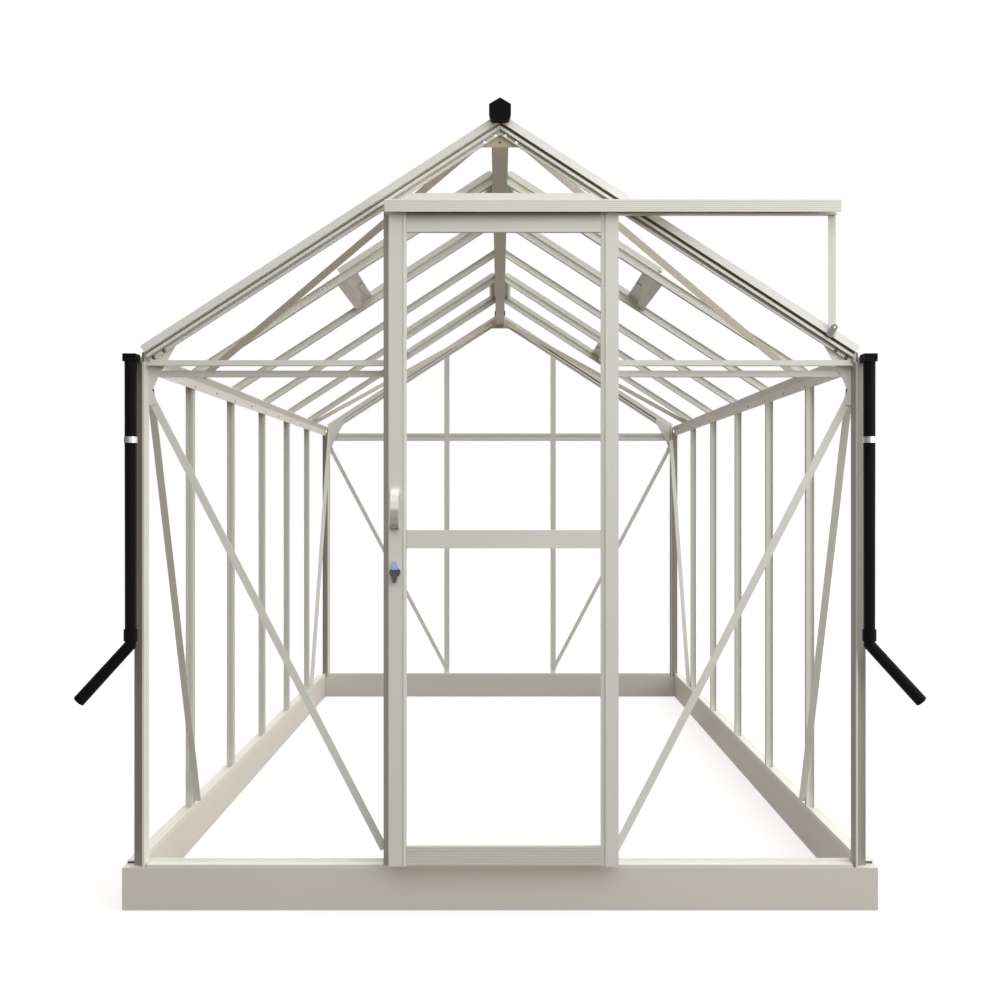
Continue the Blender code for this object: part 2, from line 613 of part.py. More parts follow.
def grooved(height, grooves, groove):
    """A rail section with evenly spaced grooves in its face."""
    outline = [(0, 0)]
    pitch = height / (grooves + 1)
    for number in range(1, grooves + 1):
        low = pitch * number - groove / 2
        outline += [(0, low), (0.0015, low), (0.0015, low + groove), (0, low + groove)]
    return outline + [(0, height), (DOOR_DEEP - 0.004, height), (DOOR_DEEP - 0.004, 0)]


bottom = solid([grooved(BOTTOM_RAIL_HIGH, 6, 0.002)], (clear_left, door_front + 0.002, DOOR_LOW + 0.002),
               ((0, 1, 0), (0, 0, 1), (1, 0, 0)), clear_wide)
keep(bottom, "door_rail_bottom")
middle = solid([grooved(MID_RAIL_HIGH, 0, 0.002)], (clear_left, door_front + 0.002, MID_RAIL_LOW),
               ((0, 1, 0), (0, 0, 1), (1, 0, 0)), clear_wide)
keep(middle, "door_rail_middle")

# Top rail carries two hanger plates with axle stubs for the wheels
lip_top = TRACK_LOW + 2 * TRACK_SHEET
wheel_z = lip_top + SEAT + WHEEL_RADIUS
track_back = GABLE_FRONT - SEAT
fascia = GABLE_FRONT - TRACK_REACH
hanger_in = DOOR_FACE + 0.009
wheel_in = track_back - TRACK_LIP_DEEP + TRACK_SHEET + 0.0028
top_rail = solid([grooved(TOP_RAIL, 0, 0.002)], (clear_left, door_front + 0.002, DOOR_TOP - TOP_RAIL),
                 ((0, 1, 0), (0, 0, 1), (1, 0, 0)), clear_wide)
wheel_places = (DOOR_LEFT + WHEEL_FROM_EDGE, DOOR_RIGHT - WHEEL_FROM_EDGE)
hangers = []
for x in wheel_places:
    plate = box_outline(x - 0.012, x + 0.012, DOOR_TOP - 0.012, wheel_z + 0.006)
    hangers.append(solid([plate], at(0, -1, 0, hanger_in, 0), ((1, 0, 0), (0, 0, 1), (0, 1, 0)), 0.003))
    stub_long = wheel_in + WHEEL_WIDE / 2 + 0.002 - hanger_in - 0.001
    stub = Vector((x, at(0, -1, 0, hanger_in + 0.001 + stub_long / 2, 0).y, wheel_z))
    hangers.append(cylinder(AXLE_RADIUS, stub_long, stub, (0, 1, 0), 16))
keep(combine(top_rail, hangers), "door_rail_top")

for x, name in zip(wheel_places, ("left", "right")):
    centre = Vector((x, at(0, -1, 0, wheel_in, 0).y, wheel_z))
    wheel = cylinder(WHEEL_RADIUS, WHEEL_WIDE, centre, (0, 1, 0), 32)
    bore = cylinder(AXLE_RADIUS + SEAT, 2 * WHEEL_WIDE, centre, (0, 1, 0), 16)
    wheel = combine(wheel, [bore], "DIFFERENCE")
    keep(wheel, "door_wheel_" + name, BLACK, 0.5, 0.0)

# Track with a fascia, a top and a running lip
reach = track_back - fascia
lip_edge = reach - TRACK_LIP_DEEP - TRACK_SHEET
tall = TRACK_TOP - TRACK_LOW
track_outline = [
    (0, 0), (TRACK_SHEET, 0), (TRACK_SHEET, tall - TRACK_SHEET), (reach - 0.004, tall - TRACK_SHEET),
    (reach - 0.004, 2 * TRACK_SHEET), (lip_edge + 0.002, 2 * TRACK_SHEET), (lip_edge + 0.002, 0.0065),
    (lip_edge, 0.0065), (lip_edge, TRACK_SHEET), (reach, TRACK_SHEET), (reach, tall), (0, tall),
]
origin = at(0, -1, 0, fascia, TRACK_LOW) + Vector((TRACK_LEFT, 0, 0))
track = solid([track_outline], origin, ((0, 1, 0), (0, 0, 1), (1, 0, 0)), TRACK_RIGHT - TRACK_LEFT)
keep(track, "door_track")

# The track's outer support laps the rafter and hooks behind the track
foot_z = RAFTER_APEX - SLOPE * SUPPORT_X - 0.024
support_outline = [
    (track_back - SUPPORT_THICK, foot_z), (track_back, foot_z), (track_back, TRACK_LOW - 0.006),
    (GABLE_FRONT + SUPPORT_THICK, TRACK_LOW - 0.006), (GABLE_FRONT + SUPPORT_THICK, TRACK_LOW + 0.024),
    (GABLE_FRONT, TRACK_LOW + 0.024), (GABLE_FRONT, TRACK_LOW - SEAT), (track_back - SUPPORT_THICK, TRACK_LOW - SEAT),
]
support = solid([support_outline], at(0, -1, 0, 0, 0) + Vector((SUPPORT_X - SUPPORT_WIDE / 2, 0, 0)),
                ((0, 1, 0), (0, 0, 1), (1, 0, 0)), SUPPORT_WIDE)
keep(support, "track_support")

# Bow handle, a strap bent out from two feet
steps = 8
outer_bow = []
inner_bow = []
for step in range(steps + 1):
    angle = math.pi * step / steps
    outer_bow.append((HANDLE_OUT * math.sin(angle) ** 0.7, HANDLE_TALL / 2 * (1 - math.cos(angle))))
    inner_tall = HANDLE_TALL / 2 - HANDLE_STRAP * 2
    inner_bow.append(((HANDLE_OUT - HANDLE_STRAP) * math.sin(angle) ** 0.7, HANDLE_TALL / 2 - inner_tall * math.cos(angle)))
handle_outline = outer_bow + list(reversed(inner_bow))
origin = (GRIP_X - HANDLE_WIDE / 2, door_front - SEAT, HANDLE_LOW)
handle = solid([handle_outline], origin, ((0, -1, 0), (0, 0, 1), (1, 0, 0)), HANDLE_WIDE)
keep(handle, "door_handle")

# Thumb turn: round base with an oval lever
turn_centre = Vector((GRIP_X, door_front - SEAT, TURN_Z))
base = cylinder(TURN_RADIUS, 0.006, turn_centre + Vector((0, -0.003, 0)), (0, 1, 0), 28)
oval = []
for step in range(20):
    angle = 2 * math.pi * step / 20
    oval.append((TURN_LEVER_WIDE / 2 * math.cos(angle), TURN_LEVER / 2 * math.sin(angle)))
lever = solid([oval], turn_centre + Vector((0, -0.004, 0)), ((1, 0, 0), (0, 0, 1), (0, -1, 0)), 0.011)
keep(combine(base, [lever]), "lock_turn", STEEL, 0.3, 0.9)

# Roof vents: a ring with a hinge bead at its top, and a stay under its bottom rail
vent_rest = RUN
axis_h = 0.0085
for side, side_name in ((-1, "left"), (1, "right")):
    down = Vector((side * COS, 0, -SIN))
    up = Vector((side * SIN, 0, COS))
    for bay, bay_name in zip(vent_bays, ("front", "rear")):
        mid_y = at(0, -1, 0, BAY * (bay - 0.5), 0).y
        axis = slope_point(side, VENT_AXIS, axis_h, mid_y)
        long = (VENT_END - VENT_AXIS) / COS
        half = BAY / 2 + VENT_OVERLAP
        outer = box_outline(0.0, long, -half, half)
        inner = box_outline(VENT_TOP_RAIL, long - VENT_BOTTOM_RAIL, -half + VENT_SIDE, half - VENT_SIDE)
        low = axis + up * (vent_rest - axis_h)
        ring = solid([outer, inner], low, (down, (0, 1, 0), up), VENT_THICK,
                     None, None)
        bead = cylinder(VENT_BEAD, 2 * half - 0.002, axis, (0, 1, 0), 20)
        stay_s = long - VENT_BOTTOM_RAIL + 0.012
        lug_pieces = []
        for place in (-1, 1):
            s_mid = stay_s + place * (STAY_WIDE / 2 + SEAT + LUG / 2)
            lug = box_outline(s_mid - LUG / 2, s_mid + LUG / 2, -0.005, 0.005)
            lug_pieces.append(solid([lug], low - up * 0.0045, (down, (0, 1, 0), up), 0.008))
        vent = combine(ring, [bead] + lug_pieces)
        keep(vent, "vent_" + side_name + "_" + bay_name)
        pivot = low + down * stay_s - up * (STAY_THICK / 2 + RUN)
        round_end = [(-STAY_THICK / 2 * math.sin(math.pi * k / 6), -STAY_THICK / 2 * math.cos(math.pi * k / 6))
                     for k in range(7)]
        profile = round_end + [(STAY_LENGTH, STAY_THICK / 2), (STAY_LENGTH, -STAY_THICK / 2)]
        stay = solid([profile], pivot - down * STAY_WIDE / 2, ((0, 1, 0), up, down), STAY_WIDE)
        keep(stay, "stay_" + side_name + "_" + bay_name)



def tube(radius, points):
    """A round bar along a line of points."""
    curve = bpy.data.curves.new("tube", "CURVE")
    curve.dimensions = "3D"
    curve.bevel_depth = radius
    curve.bevel_resolution = 4
    curve.use_fill_caps = True
    spline = curve.splines.new("POLY")
    spline.points.add(len(points) - 1)
    for point, place in zip(spline.points, points):
        point.co = (*place, 1.0)
    obj = bpy.data.objects.new("tube", curve)
    cutters.objects.link(obj)
    bpy.context.view_layer.update()
    return mesh_of(obj)


# Downpipes: a head at the end of the gutter, a pipe and a bent spout
for side, name in ((-1, "left"), (1, "right")):
    top = at(side, -1, PIPE_X, PIPE_OUT, OUTLET_LOW + 0.006)
    bend = at(side, -1, PIPE_X, PIPE_OUT, PIPE_BEND_Z)
    spout = at(side, -1, PIPE_SPOUT_X, PIPE_OUT, PIPE_SPOUT_Z)
    leg = (spout - bend).normalized()
    pipe = tube(PIPE_RADIUS, [top, bend, spout])
    hollow = tube(PIPE_RADIUS - PIPE_WALL, [top + Vector((0, 0, 0.05)), bend, spout + leg * 0.02])
    head_front = PIPE_OUT - PIPE_RADIUS - 0.001
    head_back = GABLE_FRONT - RUN
    head = solid([box_outline(OUTLET_HEAD, OUTLET_OUT, OUTLET_LOW, OUTLET_LOW + OUTLET_TALL)],
                 at(0, -1, 0, head_front, 0), ((side, 0, 0), (0, 0, 1), (0, 1, 0)), head_back - head_front)
    neck_back = head_back - 0.004
    neck = solid([box_outline(OUTLET_IN, OUTLET_OUT - 0.001, OUTLET_LOW + 0.003, OUTLET_LOW + OUTLET_TALL - 0.001)],
                 at(0, -1, 0, neck_back, 0), ((side, 0, 0), (0, 0, 1), (0, 1, 0)), post_deep - neck_back)
    collar = cylinder(PIPE_RADIUS + 0.002, 0.030, at(side, -1, PIPE_X, PIPE_OUT, PIPE_BEND_Z + 0.024), (0, 0, 1), 20)
    pipe = combine(pipe, [head, neck, collar])
    pipe = combine(pipe, [hollow], "DIFFERENCE")
    keep(pipe, "downpipe_" + name, BLACK, 0.4, 0.0)

for leftover in list(cutters.objects):
    bpy.data.objects.remove(leftover, do_unlink=True)
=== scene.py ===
# %% [markdown]
# # A garden greenhouse frame in cream powder coat
#
# The frame's bars, door and vents are already solids. This lesson gives them their paint, adds
# the small fasteners and pipe clips that such a frame is put together with, and lights it on a
# white ground. The first cell loads the solids and keeps the size of their box.

# %% Load the frame
import math

import bmesh
import bpy
from mathutils import Matrix, Vector


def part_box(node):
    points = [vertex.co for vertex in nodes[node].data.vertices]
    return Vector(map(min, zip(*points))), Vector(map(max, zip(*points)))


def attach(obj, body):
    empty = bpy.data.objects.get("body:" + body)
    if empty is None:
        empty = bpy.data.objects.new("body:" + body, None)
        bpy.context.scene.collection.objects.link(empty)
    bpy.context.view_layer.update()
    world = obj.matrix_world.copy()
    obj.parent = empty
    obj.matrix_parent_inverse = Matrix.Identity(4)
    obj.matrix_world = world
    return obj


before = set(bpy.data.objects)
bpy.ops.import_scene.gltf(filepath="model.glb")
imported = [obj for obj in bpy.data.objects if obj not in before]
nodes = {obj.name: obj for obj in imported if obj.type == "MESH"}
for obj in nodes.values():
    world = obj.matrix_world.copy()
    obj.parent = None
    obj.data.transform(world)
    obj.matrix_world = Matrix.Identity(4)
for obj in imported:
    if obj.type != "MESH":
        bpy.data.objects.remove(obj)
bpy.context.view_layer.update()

# %% [markdown]
# Shader maths reads best as plain sums. This small class wraps one socket, so that an
# expression such as `0.4 + 0.1 * noise` adds its Math nodes by itself.

# %% A wire for shader maths
class Wire:
    """One output socket of a node tree, with the usual signs for maths on it."""

    def __init__(self, tree, socket):
        self.tree = tree
        self.socket = socket

    def maths(self, operation, *values):
        node = self.tree.nodes.new("ShaderNodeMath")
        node.operation = operation
        for place, value in enumerate(values):
            if isinstance(value, Wire):
                self.tree.links.new(value.socket, node.inputs[place])
            else:
                node.inputs[place].default_value = value
        return Wire(self.tree, node.outputs[0])

    def __add__(self, other):
        return self.maths("ADD", self, other)

    def __radd__(self, other):
        return self.maths("ADD", other, self)

    def __sub__(self, other):
        return self.maths("SUBTRACT", self, other)

    def __rsub__(self, other):
        return self.maths("SUBTRACT", other, self)

    def __mul__(self, other):
        return self.maths("MULTIPLY", self, other)

    def __rmul__(self, other):
        return self.maths("MULTIPLY", other, self)

    def __truediv__(self, other):
        return self.maths("DIVIDE", self, other)

    def at_least(self, other):
        return self.maths("MAXIMUM", self, other)

    def at_most(self, other):
        return self.maths("MINIMUM", self, other)

    def held(self):
        """The same number, kept between 0 and 1."""
        return self.at_least(0.0).at_most(1.0)

    def size(self):
        """The same number without its sign."""
        return self.maths("ABSOLUTE", self)

    def sine(self):
        return self.maths("SINE", self)


# %% [markdown]
# Any other node comes from one method, which takes the node's type, its settings and what goes
# into its sockets. A value, a wire and a plain socket can all be fed in the same way.

# %% A bench that adds any node
class Bench:
    """A node tree with one method that adds any node."""

    def __init__(self, tree):
        self.tree = tree

    def add(self, kind, settings=None, **sockets):
        node = self.tree.nodes.new(kind)
        for name, value in (settings or {}).items():
            setattr(node, name, value)
        for name, value in sockets.items():
            self.feed(node.inputs[name.replace("_", " ")], value)
        return node

    def feed(self, socket, value):
        if isinstance(value, Wire):
            self.tree.links.new(value.socket, socket)
        elif isinstance(value, bpy.types.NodeSocket):
            self.tree.links.new(value, socket)
        else:
            socket.default_value = value

    def wire(self, socket):
        return Wire(self.tree, socket)


# %% [markdown]
# Powder coat is a sprayed plastic skin. Close up it has a fine orange peel, the colour is very
# even, and the gloss changes a little from place to place. Aluminium that was pressed through a
# die keeps faint lines along its length, and the coat softens them. A noise that is stretched
# along one axis gives those lines. A coat can also take a colour of painted shade and a function
# that says where that painted shade lies.

# %% Powder coat
def linear(red, green, blue):
    """The value that the renderer needs for a colour picked from a screen."""
    out = []
    for value in (red, green, blue):
        share = value / 255
        out.append(share / 12.92 if share <= 0.04045 else ((share + 0.055) / 1.055) ** 2.4)
    return (*out, 1.0)


def powder_coat(name, colour, shade, rough, along, peel=0.05, tilt=0.0, grooves=None, dust=None):
    """A coated metal whose faint die lines run along one axis, tilted about Y by an angle."""
    material = bpy.data.materials.new(name)
    material.use_nodes = True
    bench = Bench(material.node_tree)
    shader = material.node_tree.nodes["Principled BSDF"]
    place = bench.add("ShaderNodeTexCoord").outputs["Object"]
    stretch = {"x": (3, 260, 260), "y": (260, 3, 260), "z": (260, 260, 3), "all": (40, 40, 40)}[along]
    turned = bench.add("ShaderNodeMapping", Vector=place, Rotation=(0, tilt, 0))
    lines_map = bench.add("ShaderNodeMapping", Vector=turned.outputs[0], Scale=stretch)
    lines = bench.add("ShaderNodeTexNoise", Vector=lines_map.outputs[0], Scale=1.0, Detail=2.0)
    cloud = bench.add("ShaderNodeTexNoise", Vector=place, Scale=2.2, Detail=4.0)
    peel_noise = bench.add("ShaderNodeTexNoise", Vector=place, Scale=850.0, Detail=1.0)
    line = bench.wire(lines.outputs[0])
    patch = bench.wire(cloud.outputs[0])
    amount = (0.35 * line + 0.65 * patch).at_most(1.0)
    mix = bench.add("ShaderNodeMix", {"data_type": "RGBA"}, Factor=amount)
    bench.feed(mix.inputs[6], colour)
    bench.feed(mix.inputs[7], shade)
    tone = mix.outputs[2]
    height = bench.wire(peel_noise.outputs[0]) + 0.6 * line
    # Painted shade: where a mask is given, a darker colour is mixed over the coat's tone by its amount.
    if grooves:
        shade_amount = grooves(bench, place).at_most(1.0)
        shaded = bench.add("ShaderNodeMix", {"data_type": "RGBA"}, Factor=shade_amount)
        bench.feed(shaded.inputs[6], tone)
        bench.feed(shaded.inputs[7], dust)
        tone = shaded.outputs[2]
    bench.feed(shader.inputs["Base Color"], tone)
    bench.feed(shader.inputs["Roughness"], rough + 0.12 * (patch - 0.5) + 0.05 * line)
    bump = bench.add("ShaderNodeBump", Height=height, Strength=peel, Distance=0.0004)
    bench.feed(shader.inputs["Normal"], bump.outputs[0])
    shader.inputs["Metallic"].default_value = 0.0
    shader.inputs["Specular IOR Level"].default_value = 0.35
    return material


# %% [markdown]
# Nearly every bar wears the same cream. Its die lines have to run along the bar, so there is
# one coat for each axis, and one with no direction for the pieces that slope.

# %% The frame's cream
CREAM = linear(230, 231, 223)
CREAM_SHADE = linear(223, 224, 214)
CREAM_ROUGH = 0.42
# Two browns of painted shade: the darker for coves, grooves and faces in shadow, the lighter between fine
# ribs.
PAINTED_SHADE = linear(92, 80, 64)
RIB_SHADE = linear(128, 119, 102)


def cream(name, along, **finish):
    """The cream coat under a name of its own, with a tilt or dust where they are given."""
    return powder_coat("cream_coat_" + name, CREAM, CREAM_SHADE, CREAM_ROUGH, along, **finish)


coats = {axis: cream(axis, axis) for axis in ("x", "y", "z", "all")}
print("plain coats:", len(coats))

# %% [markdown]
# Grooves, coves and faces that lie under or behind other parts fall into shade, and a coat in one
# flat tone would lose them from a few metres away. So that shade is painted into the coat: the
# next cells say how much painted shade each place takes, as a number between 0 and 1 that is
# worked out from where the place lies. Two helpers do most of it: one picks out a single axis,
# and the other is 1 inside a band and falls off softly at its edges.

# %% Helpers for painted shade
def along_axis(bench, vector, axis):
    """One of the three numbers of a vector socket, as a wire."""
    parts = bench.add("ShaderNodeSeparateXYZ", Vector=vector)
    return bench.wire(parts.outputs["XYZ".index(axis)])


def band(way, low, high, soft=0.0006):
    """1 between two values of a wire, falling to 0 over a short way outside them."""
    return ((way - low) / soft + 1.0).held() * ((high - way) / soft + 1.0).held()


# %% [markdown]
# Two grooves run down each gable rafter. They follow the roof's pitch, so their depth is
# measured square to the slope, from the rafter's top edge. Both take painted shade, lighter on
# the left slope.

# %% Rafter grooves
ROOF_SLOPE = 0.648
PITCH = math.atan(ROOF_SLOPE)
rafter_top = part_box("rafter_front_left")[1].z


def rafter_depth(bench, place):
    """How far a point lies under the top edge of the front rafters, square to the slope."""
    out = along_axis(bench, place, "X").size()
    return out * math.sin(PITCH) + (along_axis(bench, place, "Z") - rafter_top) * math.cos(PITCH)


def right_grooves(bench, place):
    """Painted shade in the two channels that run down each rafter."""
    down = rafter_depth(bench, place)
    return band(down, -0.0284, -0.0214) + 0.7 * band(down, -0.0420, -0.0364, 0.0012)


def left_grooves(bench, place):
    """On the left slope the painted shade in the channels is lighter, apart from a thin line."""
    down = rafter_depth(bench, place)
    return 0.80 * band(down, -0.0262, -0.0226) + 0.36 * band(down, -0.0410, -0.0364, 0.0012)


coats["slope_left"] = cream("slope_left", "x", tilt=PITCH, grooves=left_grooves, dust=PAINTED_SHADE)
coats["slope_right"] = cream("slope_right", "x", tilt=-PITCH, grooves=right_grooves, dust=PAINTED_SHADE)
print("pitch of the rafters:", round(math.degrees(PITCH), 1), "degrees")

# %% [markdown]
# Each corner post has a cove at its outer corner and a narrow groove beside it, and the left
# jamb of the portal lies in the shade of the door's edge. All three get painted shade. All three
# are upright bands, so a distance along X is enough to find them.

# %% Post coves and the left jamb
post_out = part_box("post_front_right")[1].x
COVE_WIDTH = 0.0278
POST_GROOVE = (0.0405, 0.0338)
JAMB_SHADE = (-0.3060, -0.2925)


def post_grooves(bench, place):
    """Painted shade in the cove of each corner post and the narrow groove beside it."""
    across = along_axis(bench, place, "X")
    cove = band(across.size(), post_out - COVE_WIDTH, post_out)
    return 0.70 * cove + 0.55 * band(across, post_out - POST_GROOVE[0], post_out - POST_GROOVE[1])


def jamb_door_shade(bench, place):
    """Painted shade on the left jamb, where the door's edge shades it."""
    return 0.50 * band(along_axis(bench, place, "X"), *JAMB_SHADE)


coats["post"] = cream("post", "z", grooves=post_grooves, dust=PAINTED_SHADE)
coats["portal"] = cream("portal", "z", grooves=jamb_door_shade, dust=PAINTED_SHADE)
print("post coves end at", round(post_out, 4))

# %% [markdown]
# The ridge is seen from below, along its whole length. Its underside takes painted shade, and
# its outside stays cream. Here the way that a face looks tells the two apart, so the mask reads
# the Normal output instead of a place.

# %% Ridge
def ridge_underside_shade(bench, place):
    """Painted shade where the ridge faces down or forward; its outside stays cream."""
    facing = bench.add("ShaderNodeTexCoord").outputs["Normal"]
    forward = (-2.5) * along_axis(bench, facing, "Y")
    down = (-2.5) * along_axis(bench, facing, "Z")
    return forward.at_least(0.0) + down.at_least(0.0)


# The ridge's painted shade is a pale brown.
coats["ridge"] = powder_coat("cream_coat_ridge", CREAM, CREAM_SHADE, 0.45, "y",
                             grooves=ridge_underside_shade, dust=linear(191, 181, 158))
print("ridge coat:", coats["ridge"].name)

# %% [markdown]
# The track's fascia and the door's bottom rail have fine ribs. Cut as geometry they would cost
# many faces for very shallow marks, so a sine along Z paints their shade as brown stripes. The
# door's top rail takes a painted shadow close under the track, darker the nearer it comes.

# %% Ribs and the rail under the track
RIB_PITCH = 0.0052
SHADE_DEPTH = 0.030
SHADE_RISE = 0.026
track_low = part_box("door_track")[0].z


def rib_shade_stripes(bench, place):
    """Painted shade of shallow ribs, five millimetres apart, that run along a rail."""
    turns = along_axis(bench, place, "Z") * (2 * math.pi / RIB_PITCH)
    return 0.10 + 0.10 * turns.sine()


def under_track_shadow(bench, place):
    """A painted shadow on the top rail close under the track."""
    rise = (along_axis(bench, place, "Z") - (track_low - SHADE_DEPTH)) / SHADE_RISE
    return rise.at_least(0.0) * rise.at_least(0.0) * 0.45


coats["fascia"] = powder_coat("cream_coat_fascia", linear(236, 237, 228), linear(230, 231, 221), 0.40, "x",
                              grooves=rib_shade_stripes, dust=RIB_SHADE)
coats["ribbed"] = cream("ribbed", "x", grooves=rib_shade_stripes, dust=RIB_SHADE)
coats["top_rail"] = cream("top_rail", "x", grooves=under_track_shadow, dust=PAINTED_SHADE)
print("underside of the track:", round(track_low, 4))

# %% [markdown]
# The flat braces under the roof are a browner cream, which is painted shade, and those in the
# sides take painted shade on the face that looks left. The bow handle has a painted highlight
# above its middle, and painted brown shade below it.

# %% Braces and handle
HANDLE_FADE = 0.010
handle_low, handle_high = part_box("door_handle")
handle_middle = (handle_low.z + handle_high.z) / 2


def handle_highlight_and_shade(bench, place):
    """Painted shade on the lower half of the handle; the upper half keeps its painted highlight."""
    under = (handle_middle - along_axis(bench, place, "Z")) / HANDLE_FADE + 0.5
    return 0.62 * under.held()


def brace_left_shade(bench, place):
    """Painted shade on the face of the side braces that looks left, away from the light."""
    facing = bench.add("ShaderNodeTexCoord").outputs["Normal"]
    return (-0.45) * along_axis(bench, facing, "X").at_most(0.0)


# The roof braces' browner cream is painted shade.
coats["roof_brace"] = powder_coat("brace_coat_roof_shade", linear(212, 205, 191), linear(203, 196, 180), 0.45,
                                  "all")
# The handle's near white is a painted highlight, and its brown lower half painted shade.
coats["handle"] = powder_coat("cream_coat_handle", linear(253, 253, 250), linear(250, 250, 246), 0.30, "z",
                              grooves=handle_highlight_and_shade, dust=linear(140, 122, 106))
coats["side_brace"] = powder_coat("brace_coat_side", CREAM, CREAM_SHADE, CREAM_ROUGH, "all",
                                  grooves=brace_left_shade, dust=PAINTED_SHADE)
print("middle of the handle:", round(handle_middle, 4))

# %% [markdown]
# The plinth is folded sheet that stands on the ground. Its coat is a little duller and rougher
# than the bars', with more orange peel.

# %% Plinth
PLINTH_PEEL = 0.08
plinth_coats = {
    axis: powder_coat("plinth_coat_" + axis, linear(227, 225, 216), linear(219, 216, 206), 0.5, axis,
                      PLINTH_PEEL)
    for axis in "xy"
}
print("coats:", len(coats) + len(plinth_coats))

# %% [markdown]
# The downpipes and ridge caps are black moulded plastic with a fine grain from the mould, and
# the wheels inside the track are hard nylon. A very fine noise in a Bump node gives the grain,
# and a broad one changes the colour a little.

# %% Moulded plastic
def moulded(name, colour, rough, grain, gloss=0.35):
    """A plastic with the mould's fine grain on it."""
    material = bpy.data.materials.new(name)
    material.use_nodes = True
    bench = Bench(material.node_tree)
    shader = material.node_tree.nodes["Principled BSDF"]
    place = bench.add("ShaderNodeTexCoord").outputs["Object"]
    fine = bench.add("ShaderNodeTexNoise", Vector=place, Scale=1400.0, Detail=2.0)
    broad = bench.add("ShaderNodeTexNoise", Vector=place, Scale=18.0, Detail=3.0)
    wide = bench.wire(broad.outputs[0])
    mix = bench.add("ShaderNodeMix", {"data_type": "RGBA"}, Factor=wide)
    bench.feed(mix.inputs[6], colour)
    bench.feed(mix.inputs[7], tuple(0.8 * v for v in colour[:3]) + (1.0,))
    bench.feed(shader.inputs["Base Color"], mix.outputs[2])
    bench.feed(shader.inputs["Roughness"], rough + 0.1 * (wide - 0.5))
    bump = bench.add("ShaderNodeBump", Height=fine.outputs[0], Strength=grain, Distance=0.0003)
    bench.feed(shader.inputs["Normal"], bump.outputs[0])
    shader.inputs["Specular IOR Level"].default_value = gloss
    return material


BLACK_PLASTIC = moulded("black_moulding", linear(10, 10, 11), 0.5, 0.12, 0.07)
NYLON = moulded("wheel_nylon", linear(38, 38, 38), 0.5, 0.1)
print("plastics:", BLACK_PLASTIC.name, NYLON.name)

# %% [markdown]
# The thumb turn, the bolts and the pipe clips are plated. A smear of noise breaks up the shine,
# as on metal that was handled. The thumb turn mirrors the sky above and the dark ground below,
# which a few pixels can't show, so both are painted reflections in its coat: two tones, which
# meet at one height.

# %% Plated metal
TONE_FADE = 0.0012


def plated(name, colour, rough, below=None, split=0.0):
    """A plated metal. Where a second colour is given, it takes over under a height."""
    material = bpy.data.materials.new(name)
    material.use_nodes = True
    bench = Bench(material.node_tree)
    shader = material.node_tree.nodes["Principled BSDF"]
    shader.inputs["Metallic"].default_value = 1.0
    place = bench.add("ShaderNodeTexCoord").outputs["Object"]
    smear = bench.add("ShaderNodeTexNoise", Vector=place, Scale=140.0, Detail=3.0)
    cloud = bench.wire(smear.outputs[0])
    mix = bench.add("ShaderNodeMix", {"data_type": "RGBA"}, Factor=cloud)
    bench.feed(mix.inputs[6], colour)
    bench.feed(mix.inputs[7], tuple(0.85 * v for v in colour[:3]) + (1.0,))
    tone = mix.outputs[2]
    if below:
        under = ((split - along_axis(bench, place, "Z")) / TONE_FADE + 0.5).held()
        two_tone = bench.add("ShaderNodeMix", {"data_type": "RGBA"}, Factor=under)
        bench.feed(two_tone.inputs[6], tone)
        bench.feed(two_tone.inputs[7], below)
        tone = two_tone.outputs[2]
    bench.feed(shader.inputs["Base Color"], tone)
    bench.feed(shader.inputs["Roughness"], rough + 0.15 * (cloud - 0.5))
    return material


# The lock's pale blue is a painted reflection of the sky, and the dark grey under it a painted reflection
# of the ground.
GROUND_REFLECTION_SHARE = 0.62
lock_low, lock_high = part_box("lock_turn")
CHROME = plated("plated_lock", linear(158, 178, 216), 0.24, below=linear(84, 85, 88),
                split=lock_low.z + GROUND_REFLECTION_SHARE * (lock_high.z - lock_low.z))
ZINC = plated("zinc_bolts", linear(186, 188, 192), 0.32)
BRIGHT = plated("bright_bolts", linear(236, 238, 242), 0.28)
DARK_STEEL = plated("dark_bolts", linear(112, 113, 112), 0.38)
HOLE = plated("hole_shadow", linear(58, 54, 48), 0.7)
print("plated:", CHROME.name, ZINC.name, BRIGHT.name, DARK_STEEL.name, HOLE.name)

# %% [markdown]
# Every solid gets its coat by its name. The pieces with a finish of their own come first, then
# those that slope, and every other bar gets the coat whose die lines run along its length,
# which is the longest side of its box.

# %% Dress the solids
OWN_COATS = {"lock_turn": CHROME, "door_handle": coats["handle"], "ridge_bar": coats["ridge"],
             "door_track": coats["fascia"], "door_portal": coats["portal"],
             "door_rail_bottom": coats["ribbed"], "door_rail_top": coats["top_rail"]}


def coat_for(name):
    """The material of a solid, by its name and, for a plain bar, by its longest side."""
    if name in OWN_COATS:
        return OWN_COATS[name]
    if name.startswith("plinth"):
        return plinth_coats["x" if name.endswith(("front", "rear")) else "y"]
    if name.startswith(("ridge_cap", "downpipe")):
        return BLACK_PLASTIC
    if name.startswith("door_wheel"):
        return NYLON
    if name.startswith("rafter"):
        return coats["slope_" + name.split("_")[-1]]
    if name.startswith("post"):
        return coats["post"]
    if name.startswith(("roof_brace", "side_brace")):
        return coats[name[:10]]
    if name.startswith(("roof", "vent", "stay")) or "brace" in name:
        return coats["all"]
    low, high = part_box(name)
    spans = [(high[i] - low[i], "xyz"[i]) for i in range(3)]
    return coats[max(spans)[1]]


for name, solid in nodes.items():
    solid.data.materials.clear()
    solid.data.materials.append(coat_for(name))
print("dressed:", len(nodes))

